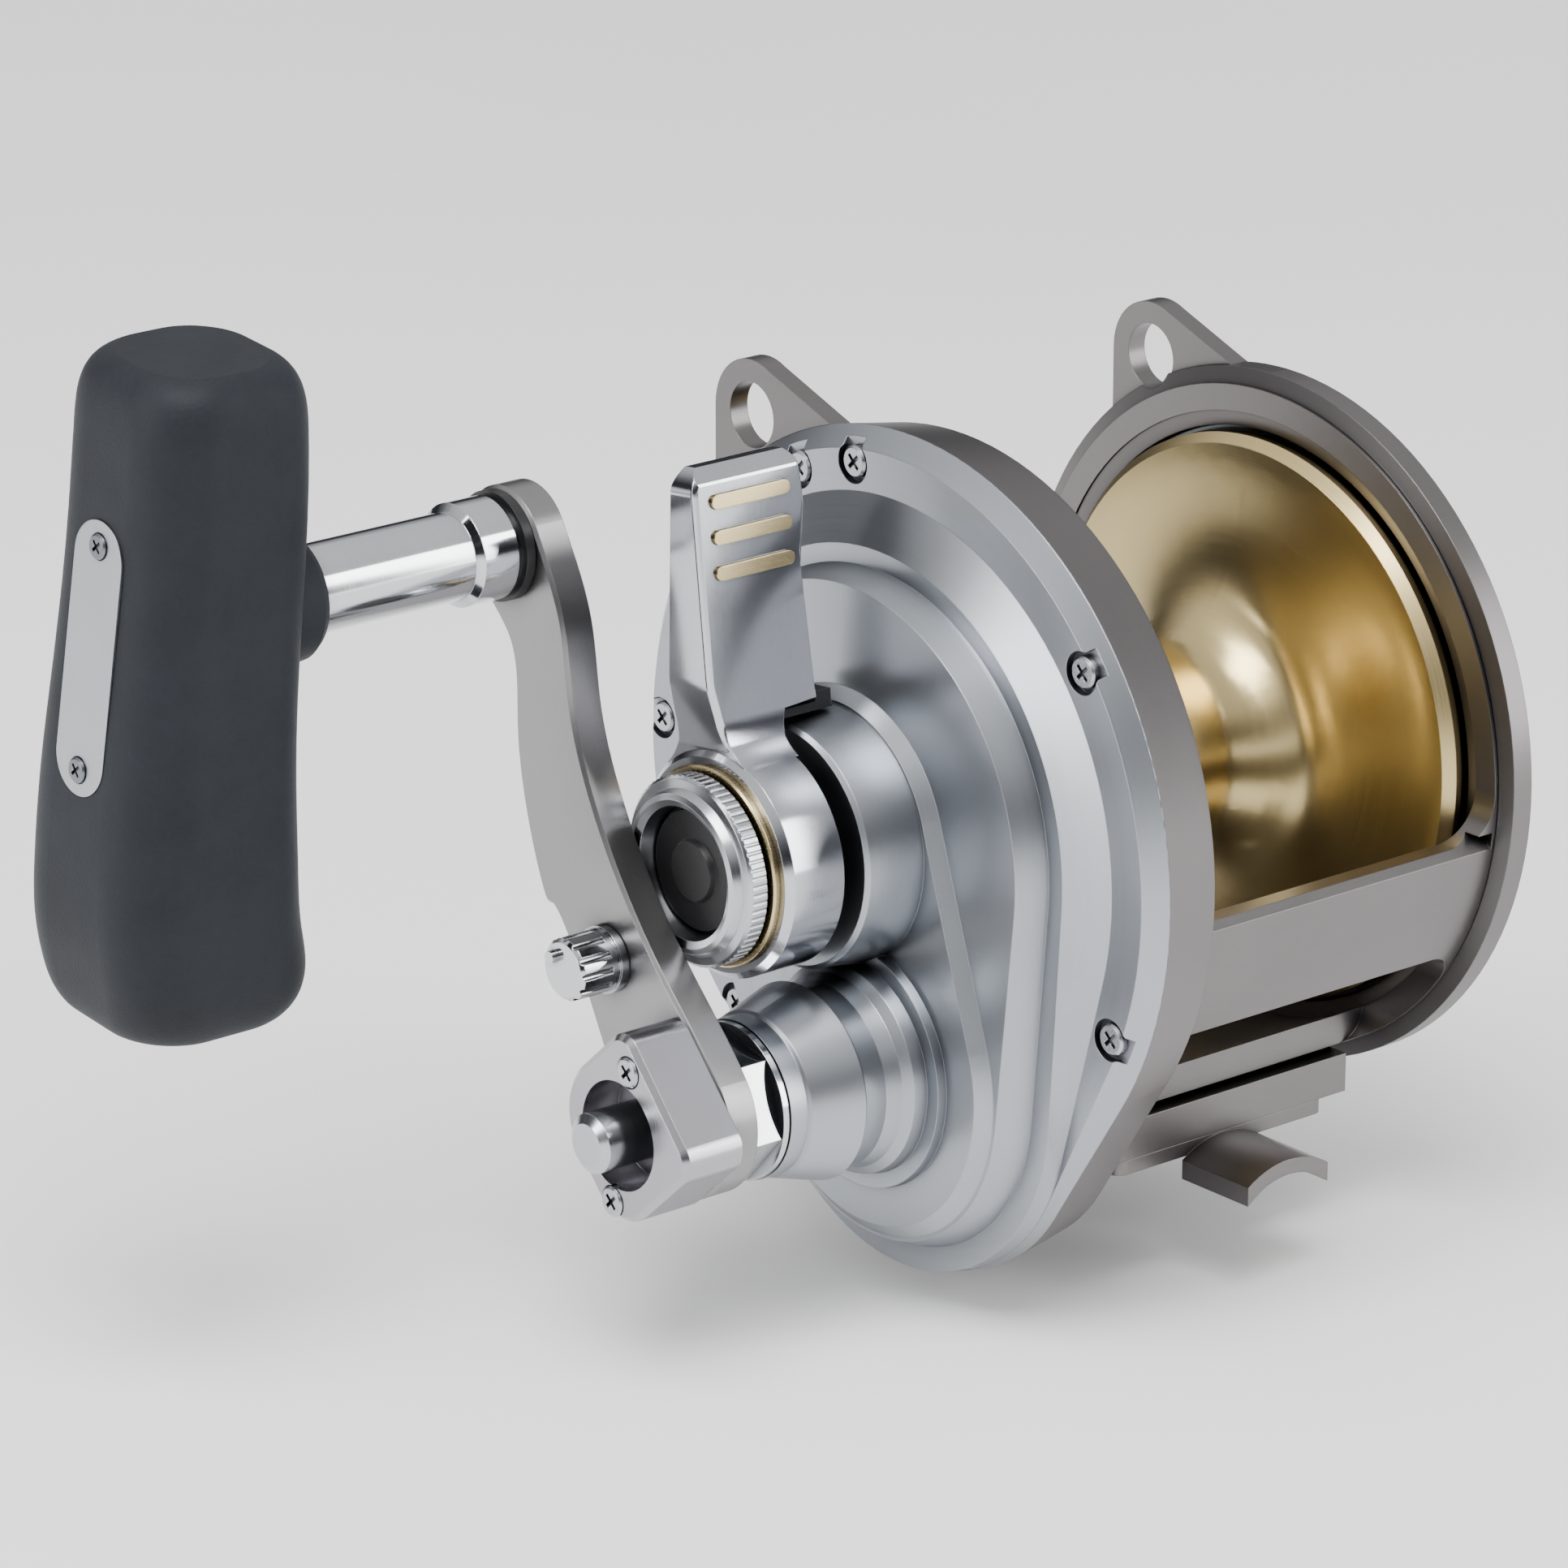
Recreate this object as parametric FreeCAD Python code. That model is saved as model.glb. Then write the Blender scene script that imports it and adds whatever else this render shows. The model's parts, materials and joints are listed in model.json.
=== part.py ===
import FreeCAD, Part
import math
import os

# Two-speed lever-drag trolling reel.  Millimetres, +Z up.
# X runs along the spool axis, with the handle at -X.  -Y is the line side (towards the rod tip).
# Everything is drawn about the spool axis and lifted by SPOOL_HEIGHT on export, which puts the
# origin at the middle of the foot's underside.

V = FreeCAD.Vector
ALONG_X = V(1, 0, 0)

# ---- driving dimensions -------------------------------------------------------------------------
SPOOL_HEIGHT = 52.5          # spool axis above the underside of the foot
FAR_RING_R = 52.0            # outer radius of the frame ring away from the handle
FAR_RING_IN, FAR_RING_OUT = 29.2, 34.5
NEAR_RING_R = 56.0           # outer radius of the frame ring on the handle side
NEAR_RING_IN, JOINT_X = -29.6, -39.3
DRUM_R, DRUM_WALL = 49.6, 4.0
SPOOL_R = 42.6
RING_BORE_R = 43.3
ARBOR_R = 14.0

GEAR_MODULE = 1.0
HIGH_GEAR_TEETH, HIGH_PINION_TEETH = 54, 13
LOW_GEAR_TEETH, LOW_PINION_TEETH = 42, 25
GEAR_CENTRES = GEAR_MODULE * (HIGH_GEAR_TEETH + HIGH_PINION_TEETH) / 2.0
HANDLE_Y = -5.7
HANDLE_Z = -math.sqrt(GEAR_CENTRES ** 2 - HANDLE_Y ** 2)
LOBE_R = 33.2                # gear lobe radius about the handle axis
MESH_ANGLE = math.atan2(HANDLE_Z, HANDLE_Y)

SHAFT_R = 4.0                # spool shaft
CRANK_R = 5.0                # handle shaft
RUNNING_GAP = 0.05           # radial gap of a shaft in its bearing
CLEAR = 0.4                  # gap between faces that pass each other

STEM_DY, STEM_DZ = 37.7, 74.3      # grip stem from the handle axis
STEM_Y = HANDLE_Y + STEM_DY
STEM_Z = HANDLE_Z + STEM_DZ
STEM_R = 6.3
ARM_IN, ARM_OUT = -80.2, -85.4     # faces of the handle arm
HUB_OUT = -95.5                    # outer face of the hub block
KNOB_DYZ = (14.6, 19.6)            # release knob from the handle axis
HUB_SCREW_DYZ = ((-2.4, 10.0), (1.2, -10.1))
# Corner radii of the hub cap before it leans; keyed by (at the rear, at the top).
HUB_CORNERS = {(False, True): 3.2, (True, True): 9.0, (True, False): 7.0, (False, False): 3.6}
SHIFT_TRAVEL = 3.0
SPRING_X, SPRING_LENGTH = -91.5, 5.4
GRIP_LEAN = 5.5                    # degrees, foot of the grip swung to the rear
ARM_LEAN = 42.0                    # degrees, the hub cap from the vertical

LUG_BORE_R = 4.85
LUG_THICK = 3.2
NEAR_LUG = (33.3, 51.2)            # y, z of the harness eye on the handle side
FAR_LUG = (26.3, 48.9)

STUD_SPACING = 33.0                # rod clamp studs, along X
STUD_HOLE_R = 2.6
WING_HALF_WIDTH, WING_REACH = 7.8, 39.5
FOOT_SCREW_XY = [(x, y) for x in (-14.5, 14.5) for y in (-17.0, 17.0)]

# Screw circles about the spool axis; degrees run from the top towards the line side.
SIDE_SCREW_CLOCK, SIDE_SCREW_R = (-9, -23, 52, 113, -88, -138), 51.0
LEFT_SCREW_CLOCK, LEFT_SCREW_R = (30, 90, 150, -30, -90, -150), 45.9
CASE_SCREW_CLOCK, CASE_SCREW_R = (20, 75, 125, -60, -115), 44.9

FACE_X = -41.9               # flat rim face of the handle side plate
DRUM_X = -49.6               # flat face of the raised drum
DECK_X = -51.4               # face of the gear deck
NECK_X = -60.8               # end of the neck behind the lever
BOSS_X = -74.0               # end of the handle shaft boss

PAWL_PIN_YZ = (HANDLE_Y + 16.8, HANDLE_Z + 9.5)
PAWL_X = (-47.4, -44.0)
PAWL_TIP_ANGLE = math.radians(62)
RATCHET_PHASE = PAWL_TIP_ANGLE + math.radians(1.0)
STEEP_SHARE = 0.08           # share of a ratchet tooth's pitch that its steep face takes

LEVER_LEAN = 6.0             # degrees, tip to the rear
LEVER_TIP_R = 56.5
HUB_FRONT, HUB_BACK, HUB_R = -73.6, -63.2, 16.4
INLAY_R = (51.6, 46.6, 41.6)
KNURL_COUNT = 72

CLICK_Z, CLICK_TRAVEL = 25.0, 3.0
CLICK_REST_Z = CLICK_Z + CLICK_TRAVEL / 2
CLICK_TIP_Z = 21.5           # tongue's tip above the spool axis, at rest

# Grip stations: height from the stem, middle of the thickness, half width along X, half width
# along Y, corner radius.
GRIP_SECTIONS = ((-57.2, -138.9, 11.0, 11.3, 8.6), (-55.6, -139.0, 14.0, 14.3, 9.6),
                 (-50.0, -139.3, 15.6, 15.9, 9.8), (-44.0, -140.4, 15.7, 16.0, 9.8),
                 (-35.0, -141.0, 15.5, 15.8, 9.8), (-22.0, -141.1, 15.0, 15.3, 9.6),
                 (-10.0, -140.6, 14.5, 14.8, 9.4), (10.0, -139.4, 14.0, 14.3, 9.2),
                 (28.0, -139.1, 13.6, 13.9, 9.0), (34.0, -139.2, 13.0, 13.3, 9.0),
                 (38.2, -139.3, 9.4, 9.7, 7.6))
GRIP_CORE_END = -148.0
BADGE_X, BADGE_Y, BADGE_THICK = -154.6, STEM_Y, 1.4
BADGE_UP, BADGE_DOWN, BADGE_HALF = 17.0, -22.0, 5.4
BADGE_TILT = 4.4             # degrees; the badge follows the grip's swelling towards its foot


# ---- shape helpers ------------------------------------------------------------------------------
def rod(radius, x_from, x_to, y=0.0, z=0.0):
    return Part.makeCylinder(radius, x_to - x_from, V(x_from, y, z), ALONG_X)


def tube(r_out, r_in, x_from, x_to, y=0.0, z=0.0):
    return rod(r_out, x_from, x_to, y, z).cut(rod(r_in, x_from - 1, x_to + 1, y, z))


def block(x_from, x_to, y_from, y_to, z_from, z_to):
    size = (x_to - x_from, y_to - y_from, z_to - z_from)
    return Part.makeBox(size[0], size[1], size[2], V(x_from, y_from, z_from))


def turned(profile, y=0.0, z=0.0):
    """Solid of revolution about an X-parallel axis; the profile is a list of (x, radius)."""
    points = [V(x, y, z + r) for x, r in profile]
    face = Part.Face(Part.makePolygon(points + points[:1]))
    return face.revolve(V(0, y, z), ALONG_X, 360)


def handle_turned(profile):
    return turned(profile, HANDLE_Y, HANDLE_Z)


def polar(radius, angle, x=0.0, y=0.0, z=0.0):
    """Point on a circle in the YZ plane; the angle is counted from +Y towards +Z."""
    return V(x, y + radius * math.cos(angle), z + radius * math.sin(angle))


def clock(radius, degrees_from_top, x=0.0):
    """Point about the spool axis; degrees run from the top towards the line side."""
    turn = math.radians(degrees_from_top)
    return V(x, -radius * math.sin(turn), radius * math.cos(turn))


def extrude_x(points, x_from, x_to):
    """Prism from (y, z) corners."""
    corners = [V(x_from, y, z) for y, z in points]
    face = Part.Face(Part.makePolygon(corners + corners[:1]))
    return face.extrude(V(x_to - x_from, 0, 0))


def extrude_y(points, y_from, y_to):
    """Prism from (x, z) corners."""
    corners = [V(x, y_from, z) for x, z in points]
    face = Part.Face(Part.makePolygon(corners + corners[:1]))
    return face.extrude(V(0, y_to - y_from, 0))


def egg_wire(r_spool, r_lobe, x):
    """Outline of a circle about the spool axis joined by tangents to one about the handle axis."""
    spread = math.acos((r_spool - r_lobe) / GEAR_CENTRES)
    front, rear = MESH_ANGLE - spread, MESH_ANGLE + spread
    low = (HANDLE_Y, HANDLE_Z)
    top_rear, top_front = polar(r_spool, rear, x), polar(r_spool, front, x)
    low_front, low_rear = polar(r_lobe, front, x, *low), polar(r_lobe, rear, x, *low)
    crown = Part.Arc(top_rear, polar(r_spool, MESH_ANGLE + math.pi, x), top_front)
    chin = Part.Arc(low_front, polar(r_lobe, MESH_ANGLE, x, *low), low_rear)
    edges = [crown.toShape(), Part.makeLine(top_front, low_front)]
    edges += [chin.toShape(), Part.makeLine(low_rear, top_rear)]
    return Part.Wire(edges)


def egg(near, far):
    """Tapered egg-shaped solid between two stations (x, r_spool, r_lobe)."""
    wires = [egg_wire(station[1], station[2], station[0]) for station in (near, far)]
    return Part.makeLoft(wires, True, True)


def fuse(first, *others):
    return first.multiFuse(list(others)).removeSplitter()


def rounded_box(x_from, x_to, y_from, y_to, z_from, z_to, radius):
    """Box whose four edges along Y are rounded."""
    solid = block(x_from, x_to, y_from, y_to, z_from, z_to)
    edges = [e for e in solid.Edges if abs(e.tangentAt(e.FirstParameter).y) > 0.9]
    return solid.makeFillet(radius, edges)


def gear_outline(teeth, phase, addendum=0.8, backlash=0.24):
    """Involute tooth outline as (radius, angle) pairs, one tooth centred on the phase angle."""
    pitch_r = GEAR_MODULE * teeth / 2.0
    base_r = pitch_r * math.cos(math.radians(20))
    root_r = pitch_r - 1.15 * GEAR_MODULE
    tip_r = pitch_r + addendum * GEAR_MODULE

    def involute(radius):
        if radius <= base_r:
            return 0.0
        pressure = math.acos(base_r / radius)
        return math.tan(pressure) - pressure

    half_pitch_tooth = (math.pi / 2 - backlash / GEAR_MODULE) / teeth
    flank = [root_r, max(base_r, root_r + 0.2), pitch_r, tip_r]
    outline = []
    for tooth in range(teeth):
        centre = phase + tooth * 2 * math.pi / teeth
        halves = [half_pitch_tooth + involute(pitch_r) - involute(r) for r in flank]
        outline += [(r, centre - half) for r, half in zip(flank, halves)]
        outline += [(r, centre + half) for r, half in zip(reversed(flank), reversed(halves))]
    return outline


def gear(teeth, phase, x_from, x_to, y=0.0, z=0.0):
    points = [polar(r, a, x_from, y, z) for r, a in gear_outline(teeth, phase)]
    face = Part.Face(Part.makePolygon(points + points[:1]))
    return face.extrude(V(x_to - x_from, 0, 0))


def ratchet(teeth, tip_r, root_r, phase, x_from, x_to, y=0.0, z=0.0):
    """Disc with saw teeth; each steep face lies just before its tip, on the falling-angle side."""
    pitch = 2 * math.pi / teeth
    points = []
    for tooth in range(teeth):
        tip_angle = phase + tooth * pitch
        points.append(polar(root_r, tip_angle - STEEP_SHARE * pitch, x_from, y, z))
        points.append(polar(tip_r, tip_angle, x_from, y, z))
    face = Part.Face(Part.makePolygon(points + points[:1]))
    return face.extrude(V(x_to - x_from, 0, 0))


def ball_bearing(r_out, r_in, x_from, x_to, y=0.0, z=0.0):
    """Ball bearing drawn as one ring with the ball race sunk in both faces."""
    solid = tube(r_out, r_in, x_from, x_to, y, z)
    wall = (r_out - r_in) / 4.0
    race = 0.25 * (x_to - x_from)
    for start in (x_from - 1, x_to - race):
        solid = solid.cut(tube(r_out - wall, r_in + wall, start, start + race + (1 if start < x_from else 1), y, z))
    return solid


def screw(radius, head_r, head_h, length, tip, direction):
    """Cross-recess cap screw: head top at the tip point, shank along the direction."""
    head = Part.makeCylinder(head_r, head_h, tip, direction)
    shank = Part.makeCylinder(radius, length, tip + direction * head_h * 0.9, direction)
    rim = head.makeChamfer(head_r * 0.14, [e for e in head.Edges if e.CenterOfMass.distanceToPoint(tip) < 0.01])
    across = direction.cross(V(0, 0, 1))
    if across.Length < 0.5:
        across = direction.cross(V(0, 1, 0))
    across.normalize()
    arm_l, arm_w, depth = head_r * 1.15, head_r * 0.26, head_h * 0.55
    solid = rim.fuse(shank)
    for turn in (45, 135):
        slot = Part.makeBox(arm_l, arm_w, depth * 2)
        slot.translate(V(-arm_l / 2, -arm_w / 2, -depth))
        slot.Placement = FreeCAD.Placement(V(0, 0, 0), FreeCAD.Rotation(V(0, 0, 1), turn)).multiply(slot.Placement)
        spin = FreeCAD.Rotation(V(0, 0, 1), direction)
        slot.Placement = FreeCAD.Placement(tip, spin).multiply(slot.Placement)
        solid = solid.cut(slot)
    return solid


# ---- frame and housing --------------------------------------------------------------------------
def harness_lug(centre, x_from, x_to, ring_r, toe_degrees):
    """Flat eye that stands on a frame ring: upright at the rear, sloping down to the ring in front."""
    y, z = centre
    eye_r = LUG_BORE_R + 3.3
    slope = math.radians(26)
    brow = (y - eye_r * math.sin(slope), z + eye_r * math.cos(slope))
    toe = math.radians(toe_degrees)
    foot_front = (ring_r * 0.98 * math.sin(toe), ring_r * 0.98 * math.cos(toe))
    foot_rear = (y + eye_r, math.sqrt((ring_r * 0.97) ** 2 - (y + eye_r) ** 2))
    web = extrude_x([(y + eye_r, z), brow, foot_front, (y, z - 12), foot_rear], x_from, x_to)
    lug = fuse(rod(eye_r, x_from, x_to, y, z), web)
    return lug.cut(rod(LUG_BORE_R, x_from - 1, x_to + 1, y, z))


def frame():
    drum = tube(DRUM_R, DRUM_R - DRUM_WALL, NEAR_RING_IN - 0.5, FAR_RING_IN + 0.5)
    span = (NEAR_RING_IN, FAR_RING_IN)
    top_window = rounded_box(*span, -70, 70, -6.4, 90, 7.0)
    drum = drum.cut(top_window)
    low_windows = rounded_box(*span, -70, 70, -43.4, -25.0, 5.0)
    drum = drum.cut(low_windows.cut(block(-40, 40, -24, 24, -60, 0)))
    for side in (-1, 1):
        bevel = extrude_x([(side * 46.5, -5), (side * 52, -5), (side * 52, -10.5)], *span)
        drum = drum.cut(bevel)
    platform = block(-24.5, 24.5, -25.6, 25.6, -50.3, -44.4)
    platform = platform.cut(rod(DRUM_R - DRUM_WALL, -40, 40))
    far = turned([(FAR_RING_IN + 0.9, RING_BORE_R), (FAR_RING_IN, 47.1), (FAR_RING_IN + 1.4, FAR_RING_R),
                  (FAR_RING_OUT - 0.4, FAR_RING_R), (FAR_RING_OUT, FAR_RING_R - 0.4),
                  (FAR_RING_OUT, RING_BORE_R)])
    near = egg((NEAR_RING_IN, 54.4, 31.6), (JOINT_X, NEAR_RING_R, LOBE_R))
    near = near.cut(rod(RING_BORE_R, JOINT_X - 1, NEAR_RING_IN + 1))
    near = near.cut(egg((-32.6, 46.6, 29.4), (JOINT_X - 0.5, 46.6, 29.4)))
    near_lug = harness_lug(NEAR_LUG, JOINT_X, JOINT_X + LUG_THICK, NEAR_RING_R, 15.0)
    far_lug = harness_lug(FAR_LUG, FAR_RING_OUT - LUG_THICK, FAR_RING_OUT, FAR_RING_R, 8.0)
    body = fuse(near, drum, platform, far, near_lug, far_lug)
    body = body.cut(rod(LUG_BORE_R, FAR_RING_IN - 1, FAR_RING_OUT + 1, *FAR_LUG))
    for angle in SIDE_SCREW_CLOCK:
        centre = clock(SIDE_SCREW_R, angle)
        body = body.cut(rod(1.2, JOINT_X - 1, JOINT_X + 6.5, centre.y, centre.z))
    for angle in CASE_SCREW_CLOCK:
        centre = clock(CASE_SCREW_R, angle)
        body = body.cut(rod(0.8, -33.0, -30.8, centre.y, centre.z))
    for angle in LEFT_SCREW_CLOCK:
        centre = clock(LEFT_SCREW_R, angle)
        body = body.cut(rod(1.2, FAR_RING_OUT - 4, FAR_RING_OUT + 1, centre.y, centre.z))
    for x, y in FOOT_SCREW_XY:
        body = body.cut(Part.makeCylinder(1.5, 7, V(x, y, -50.4)))
    for side in (-1, 1):
        body = body.cut(Part.makeCylinder(STUD_HOLE_R, 20, V(side * STUD_SPACING / 2, 0, -60)))
    return body


def reel_foot():
    """Saddle plate screwed under the frame, with an arched wing towards each end of the rod seat."""
    plate = rounded_foot_plate(20.4, 25.6, -52.5, -50.3)
    arch_r, thick = 14.0, 2.3
    centre_z = -50.6 - arch_r
    arch = Part.makeCylinder(arch_r, 2 * WING_REACH, V(0, -WING_REACH, centre_z), V(0, 1, 0))
    arch = arch.cut(Part.makeCylinder(arch_r - thick, 2 * WING_REACH + 2, V(0, -WING_REACH - 1, centre_z), V(0, 1, 0)))
    arch = arch.common(block(-WING_HALF_WIDTH, WING_HALF_WIDTH, -WING_REACH, WING_REACH, -57.0, -50.0))
    arch = arch.cut(block(-30, 30, -25.6, 25.6, -60, -52.5))
    foot = fuse(plate, arch)
    for x, y in FOOT_SCREW_XY:
        foot = foot.cut(Part.makeCylinder(1.65, 9, V(x, y, -56)))
        foot = foot.cut(Part.makeCylinder(3.0, 2.4, V(x, y, -53.5)))
    for side in (-1, 1):
        foot = foot.cut(Part.makeCylinder(STUD_HOLE_R, 20, V(side * STUD_SPACING / 2, 0, -60)))
    return foot


def rounded_foot_plate(half_x, half_y, z_from, z_to):
    plate = block(-half_x, half_x, -half_y, half_y, z_from, z_to)
    upright = [e for e in plate.Edges if abs(e.tangentAt(e.FirstParameter).z) > 0.9]
    return plate.makeFillet(2.0, upright)


def foot_screws():
    heads = [screw(1.45, 2.8, 1.0, 4.6, V(x, y, -52.2), V(0, 0, 1)) for x, y in FOOT_SCREW_XY]
    return Part.makeCompound(heads)


def handle_side_plate():
    rim = egg((JOINT_X, NEAR_RING_R, LOBE_R), (FACE_X, 53.0, LOBE_R - 0.4))
    cone = egg((FACE_X, 47.0, LOBE_R - 0.5), (-44.7, 40.0, LOBE_R - 1.0))
    drum = egg((-44.7, 37.3, 28.6), (DRUM_X, 35.8, 26.6))
    deck = egg((DRUM_X, 21.0, 26.0), (DECK_X, 19.2, 24.0))
    neck = turned([(-50.0, 0), (-50.0, 19.0), (NECK_X + 0.6, 17.8), (NECK_X, 17.2), (NECK_X, 0)])
    sleeve = rod(9.0, -66.0, NECK_X)
    boss = handle_turned([(-50.5, 0), (-50.5, 18.4), (-52.8, 18.0), (-52.8, 15.8), (-54.8, 15.4),
                          (-56.0, 14.2), (-58.4, 13.5), (-62.0, 13.5), (-62.8, 14.4), (-70.6, 12.1),
                          (-71.0, 11.6), (BOSS_X, 11.6), (BOSS_X, 0)])
    plate = fuse(rim, cone, drum, deck, neck, sleeve, boss)
    plate = plate.cut(egg((JOINT_X + 0.5, 46.4, 29.6), (-40.4, 45.6, 29.6)))
    plate = plate.cut(egg((-40.3, 36.0, 29.4), (-42.9, 35.0, 29.2)))
    plate = plate.cut(egg((-42.8, 14.0, 22.8), (-48.4, 14.0, 22.4)))
    plate = plate.cut(rod(12.6, -59.0, -48.0))
    plate = plate.cut(rod(SHAFT_R + 0.3, -67.0, -58.0))
    plate = plate.cut(rod(9.5, -61.6, -48.0, HANDLE_Y, HANDLE_Z))
    plate = plate.cut(rod(CRANK_R + 0.3, -75.0, -61.0, HANDLE_Y, HANDLE_Z))
    for angle in SIDE_SCREW_CLOCK:
        plate = plate.cut(screw_pocket(angle))
    return plate


def screw_pocket(angle):
    """Flat-bottomed seat with an open mouth towards the rim, and the screw's through hole."""
    centre = clock(SIDE_SCREW_R, angle)
    seat = rod(3.1, FACE_X - 1, FACE_X + 1.3, centre.y, centre.z)
    mouth = block(FACE_X - 1, FACE_X + 1.3, -2.1, 2.1, SIDE_SCREW_R, SIDE_SCREW_R + 9)
    mouth.rotate(V(0, 0, 0), ALONG_X, angle)
    return seat.fuse(mouth).fuse(rod(1.35, FACE_X, JOINT_X + 1, centre.y, centre.z))


def side_plate_screws():
    pieces = []
    for angle in SIDE_SCREW_CLOCK:
        centre = clock(SIDE_SCREW_R, angle, FACE_X + 0.1)
        pieces.append(screw(1.2, 2.35, 1.2, 6.5, centre, ALONG_X))
    return Part.makeCompound(pieces)


def gear_case_plate():
    """Inner wall between the spool side and the gears; carries the two inner bearings."""
    plate = egg((-34.4, 46.2, 29.0), (-32.8, 46.2, 29.0))
    plate = plate.cut(rod(9.0, -36, -32))
    plate = plate.cut(rod(8.0, -36, -32, HANDLE_Y, HANDLE_Z))
    for angle in CASE_SCREW_CLOCK:
        centre = clock(CASE_SCREW_R, angle)
        plate = plate.cut(rod(0.85, -36, -32, centre.y, centre.z))
    return plate


def gear_case_screws():
    pieces = [screw(0.8, 1.35, 0.9, 3.2, clock(CASE_SCREW_R, angle, -35.3), ALONG_X) for angle in CASE_SCREW_CLOCK]
    return Part.makeCompound(pieces)


def left_side_plate():
    plate = turned([(FAR_RING_OUT, 0), (FAR_RING_OUT, 48.8), (FAR_RING_OUT + 1.5, 48.8), (37.4, 47.4),
                    (37.4, 42.6), (39.2, 38.0), (40.4, 30.0), (40.4, 22.0), (39.4, 21.2), (39.4, 13.4),
                    (41.6, 13.0), (42.4, 12.0), (42.4, 0)])
    plate = plate.cut(turned([(34.0, 0), (34.0, 42.0), (35.6, 41.0), (38.2, 30.0), (38.2, 0)]))
    spigot = tube(43.1, 41.2, 31.6, FAR_RING_OUT + 0.5)
    seat = tube(11.0, 8.0, 33.6, 38.6)
    plate = fuse(plate, spigot, seat)
    plate = plate.cut(rod(8.0, 30, 38.2)).cut(rod(SHAFT_R + 0.3, 38, 40.6))
    for angle in LEFT_SCREW_CLOCK:
        centre = clock(LEFT_SCREW_R, angle)
        plate = plate.cut(rod(1.35, 33, 38, centre.y, centre.z))
        plate = plate.cut(rod(2.6, 36.2, 38, centre.y, centre.z))
    slot = block(34, 42, -3.2, 3.2, CLICK_Z - 6.2, CLICK_Z + 6.2)
    return plate.cut(slot)


def left_plate_screws():
    pieces = []
    for angle in LEFT_SCREW_CLOCK:
        pieces.append(screw(1.2, 2.4, 1.2, 4.6, clock(LEFT_SCREW_R, angle, 37.45), V(-1, 0, 0)))
    return Part.makeCompound(pieces)


def left_bearing():
    return ball_bearing(8.0, SHAFT_R + RUNNING_GAP, 33.8, 38.0)


def drive_bearing():
    return ball_bearing(9.0, 7.0 + RUNNING_GAP, -34.6, -32.7)


def handle_bearing_inner():
    return ball_bearing(8.0, CRANK_R + RUNNING_GAP, -34.6, -32.7, HANDLE_Y, HANDLE_Z)


def handle_bearing_outer():
    return ball_bearing(9.5, CRANK_R + RUNNING_GAP, -61.4, -56.4, HANDLE_Y, HANDLE_Z)


def pawl_pin():
    return rod(1.2, -48.4, -43.2, *PAWL_PIN_YZ)


# ---- spool --------------------------------------------------------------------------------------
def spool():
    """Machined spool with dished flanges; the handle-side flange carries the drag disc."""
    dish = [V(26.9, 0, 41.2), V(25.4, 0, 34.0), V(23.6, 0, 26.0), V(20.6, 0, 19.6), V(15.0, 0, 15.2), V(9.0, 0, ARBOR_R)]
    far_curve = Part.BSplineCurve()
    far_curve.interpolate(dish)
    near_dish = [V(-p.x + 1.6, 0, p.z) for p in reversed(dish)]
    near_curve = Part.BSplineCurve()
    near_curve.interpolate(near_dish)
    corners = [near_dish[-1], V(-26.4, 0, SPOOL_R), V(-27.2, 0, SPOOL_R), V(-27.2, 0, 9.5), V(-22.0, 0, 9.5),
               V(-22.0, 0, 5.0), V(22.2, 0, 5.0), V(22.2, 0, 9.5), V(27.2, 0, 9.5), V(27.2, 0, 30.0),
               V(28.8, 0, 39.4), V(31.2, 0, 40.6), V(31.2, 0, SPOOL_R), V(28.4, 0, SPOOL_R), V(26.9, 0, 41.2)]
    edges = [far_curve.toShape(), Part.makeLine(dish[-1], near_dish[0]), near_curve.toShape()]
    edges += [Part.makeLine(a, b) for a, b in zip(corners, corners[1:])]
    face = Part.Face(Part.Wire(edges))
    return face.revolve(V(0, 0, 0), ALONG_X, 360)


def spool_bearings():
    pair = [ball_bearing(9.5, SHAFT_R + RUNNING_GAP, start, start + 4.6) for start in (-26.8, 22.4)]
    return Part.makeCompound(pair)


def drag_disc():
    return turned([(-27.2, 9.6), (-27.2, 38.5), (-28.8, 38.5), (-28.8, 21.0), (-28.2, 20.0), (-28.2, 9.6)])


def click_ratchet():
    disc = ratchet(24, 18.0, 16.2, math.radians(3.0), 27.2, 28.8)
    return disc.cut(rod(9.6, 27, 29))


# ---- spool shaft, drawn sideways by the drag cam ------------------------------------------------
def spool_shaft():
    shaft = rod(SHAFT_R, -73.0, 40.0)
    shoulder = tube(4.8, SHAFT_R, 19.6, 22.2)
    flat = block(-74, -67, 2.9, 6, -6, 6)
    return fuse(shaft, shoulder).cut(flat)


def drag_springs():
    """Dished spring washers between the cam and the drive plate."""
    washers = []
    for index in range(4):
        start = -55.4 + index * 1.25
        lean = 0.5 if index % 2 else -0.5
        washers.append(turned([(start, 4.3), (start + lean, 8.6), (start + lean + 0.7, 8.6), (start + 0.7, 4.3)]))
    return Part.makeCompound(washers)


# ---- drive plate and pinions, turning on the spool shaft ----------------------------------------
def pressure_plate():
    bore = SHAFT_R + RUNNING_GAP
    return turned([(-30.0, bore), (-30.0, 39.4), (-31.2, 40.6), (-32.3, 40.6), (-32.3, 30.0), (-31.6, 28.0),
                   (-31.6, 12.0), (-32.3, 10.0), (-32.3, 7.0), (-34.9, 7.0), (-34.9, bore)])


def drag_lining():
    return tube(37.6, 21.5, -30.0, -29.35)


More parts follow.
